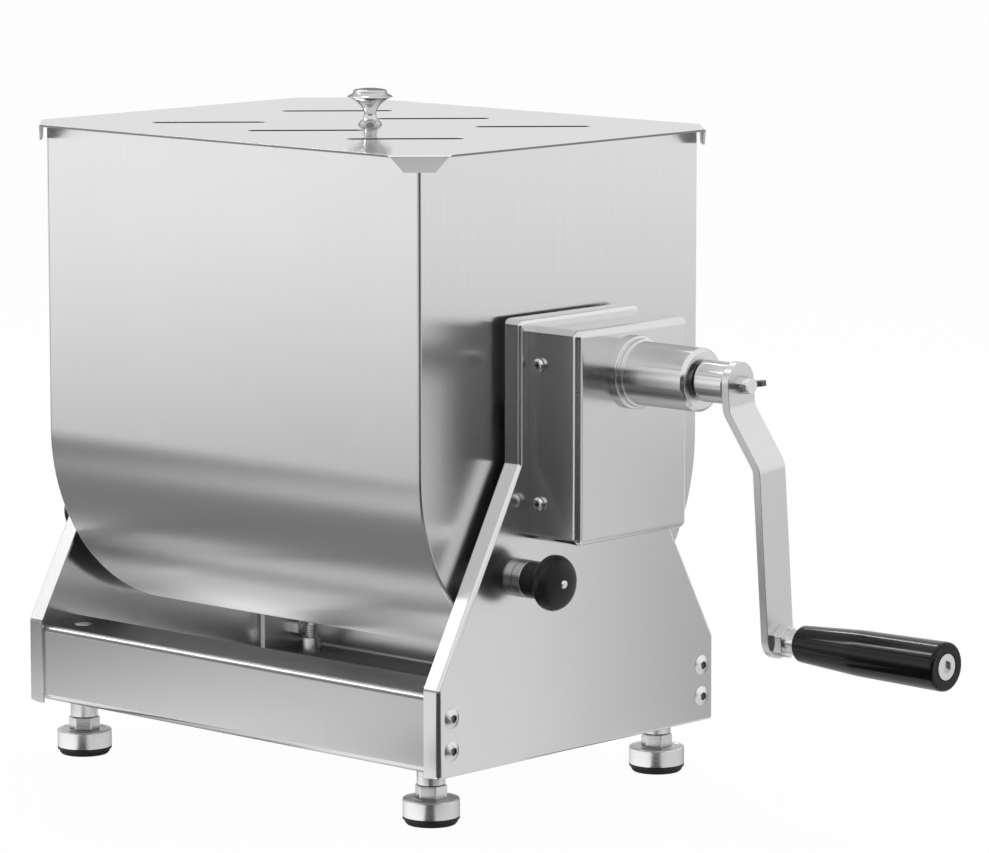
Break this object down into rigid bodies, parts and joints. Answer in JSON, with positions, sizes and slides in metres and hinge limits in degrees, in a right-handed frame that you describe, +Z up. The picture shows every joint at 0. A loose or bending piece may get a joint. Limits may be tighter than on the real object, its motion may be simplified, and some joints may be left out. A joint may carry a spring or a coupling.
{
  "type": "manual meat mixer",
  "caption": "Hand-cranked stainless meat mixer: U-bottomed tilting tank with loose lid between folded side frames, geared crank, mixing paddles, lock plungers and levelling feet.",
  "frame": {"origin": "on the table, midway between the side frames, in the middle of the four feet", "axes": "+Z up, +X along the mixing axis towards the crank, -Y to the front"},
  "size_m": [0.7256, 0.31, 0.4691],
  "materials": {
    "brushed_stainless": "satin brushed",
    "polished_stainless": "polished",
    "turned_stainless": "fine turned",
    "bright_steel": "bright",
    "chrome": "mirror",
    "gear_steel": "machined",
    "bronze": "turned",
    "seal_plastic": "plain",
    "black_plastic": "gloss moulded",
    "black_rubber": "matte"
  },
  "bodies": {
    "frame": {"right_side_frame": "brushed_stainless", "left_side_frame": "brushed_stainless", "front_beam": "brushed_stainless", "rear_beam": "brushed_stainless", "beam_screws": "bright_steel", "beam_nuts": "bright_steel", "foot_bushes": "turned_stainless", "gearbox_plate": "brushed_stainless", "gearbox_cover": "brushed_stainless", "gearbox_screws": "bright_steel", "crank_boss": "turned_stainless", "crank_bushes": "bronze", "right_pivot_bush": "bronze", "left_pivot_bush": "bronze", "left_bearing_cap": "turned_stainless", "left_cap_screws": "bright_steel", "right_plunger_body": "turned_stainless", "left_plunger_body": "turned_stainless", "plunger_nuts": "bright_steel"},
    "tank": {"tank_shell": "brushed_stainless", "tank_right_end": "brushed_stainless", "tank_left_end": "brushed_stainless", "right_trunnion": "turned_stainless", "left_trunnion": "turned_stainless", "lock_bosses": "turned_stainless", "shaft_seals": "seal_plastic"},
    "lid": {"lid_plate": "polished_stainless", "lid_knob": "chrome", "lid_knob_screw": "bright_steel"},
    "paddle": {"paddle_shaft": "turned_stainless", "mixing_paddles": "brushed_stainless", "driven_gear": "gear_steel", "gear_key": "gear_steel", "gear_ring": "gear_steel"},
    "crank": {"crank_shaft": "turned_stainless", "drive_pinion": "gear_steel", "pinion_pin": "gear_steel", "crank_socket": "turned_stainless", "crank_key": "gear_steel", "crank_arm": "brushed_stainless", "wing_screw": "bright_steel", "grip_spindle": "turned_stainless", "grip_nut": "bright_steel"},
    "grip": {"grip": "black_plastic"},
    "right_plunger": {"right_plunger_pin": "turned_stainless", "right_plunger_knob": "black_plastic", "right_plunger_rivet": "bright_steel", "right_plunger_spring": "gear_steel"},
    "left_plunger": {"left_plunger_pin": "turned_stainless", "left_plunger_knob": "black_plastic", "left_plunger_rivet": "bright_steel", "left_plunger_spring": "gear_steel"},
    "front_right_foot": {"front_right_foot": "bright_steel", "front_right_pad": "black_rubber"},
    "front_left_foot": {"front_left_foot": "bright_steel", "front_left_pad": "black_rubber"},
    "rear_right_foot": {"rear_right_foot": "bright_steel", "rear_right_pad": "black_rubber"},
    "rear_left_foot": {"rear_left_foot": "bright_steel", "rear_left_pad": "black_rubber"}
  },
  "joints": [
    {"name": "tank_tilt", "type": "hinge", "parent": "frame", "child": "tank", "pos_m": [0, 0.004, 0.2326], "axis": [1, 0, 0], "range_deg": [0, 90]},
    {"name": "lid_lift", "type": "slide", "parent": "tank", "child": "lid", "axis": [0, 0, 1], "range_m": [0, 0.08]},
    {"name": "crank_turn", "type": "hinge", "parent": "frame", "child": "crank", "pos_m": [0, 0.004, 0.2951], "axis": [1, 0, 0], "continuous": true},
    {"name": "paddle_turn", "type": "hinge", "parent": "frame", "child": "paddle", "pos_m": [0, 0.004, 0.2326], "axis": [1, 0, 0], "continuous": true},
    {"name": "grip_turn", "type": "hinge", "parent": "crank", "child": "grip", "pos_m": [0, 0.01831, 0.12821], "axis": [1, 0, 0], "continuous": true},
    {"name": "right_plunger_pull", "type": "slide", "parent": "frame", "child": "right_plunger", "axis": [1, 0, 0], "range_m": [0, 0.008], "stiffness_N_per_m": 800, "springref_m": -0.01, "deforming": ["right_plunger_spring"]},
    {"name": "left_plunger_pull", "type": "slide", "parent": "frame", "child": "left_plunger", "axis": [-1, 0, 0], "range_m": [0, 0.008], "stiffness_N_per_m": 800, "springref_m": -0.01, "deforming": ["left_plunger_spring"]},
    {"name": "front_right_foot_screw", "type": "slide", "parent": "frame", "child": "front_right_foot", "axis": [0, 0, -1], "range_m": [0, 0.015]},
    {"name": "front_left_foot_screw", "type": "slide", "parent": "frame", "child": "front_left_foot", "axis": [0, 0, -1], "range_m": [0, 0.015]},
    {"name": "rear_right_foot_screw", "type": "slide", "parent": "frame", "child": "rear_right_foot", "axis": [0, 0, -1], "range_m": [0, 0.015]},
    {"name": "rear_left_foot_screw", "type": "slide", "parent": "frame", "child": "rear_left_foot", "axis": [0, 0, -1], "range_m": [0, 0.015]}
  ],
  "couplings": [
    {"joint": "paddle_turn", "follows": "crank_turn", "ratio": -0.51515}
  ]
}
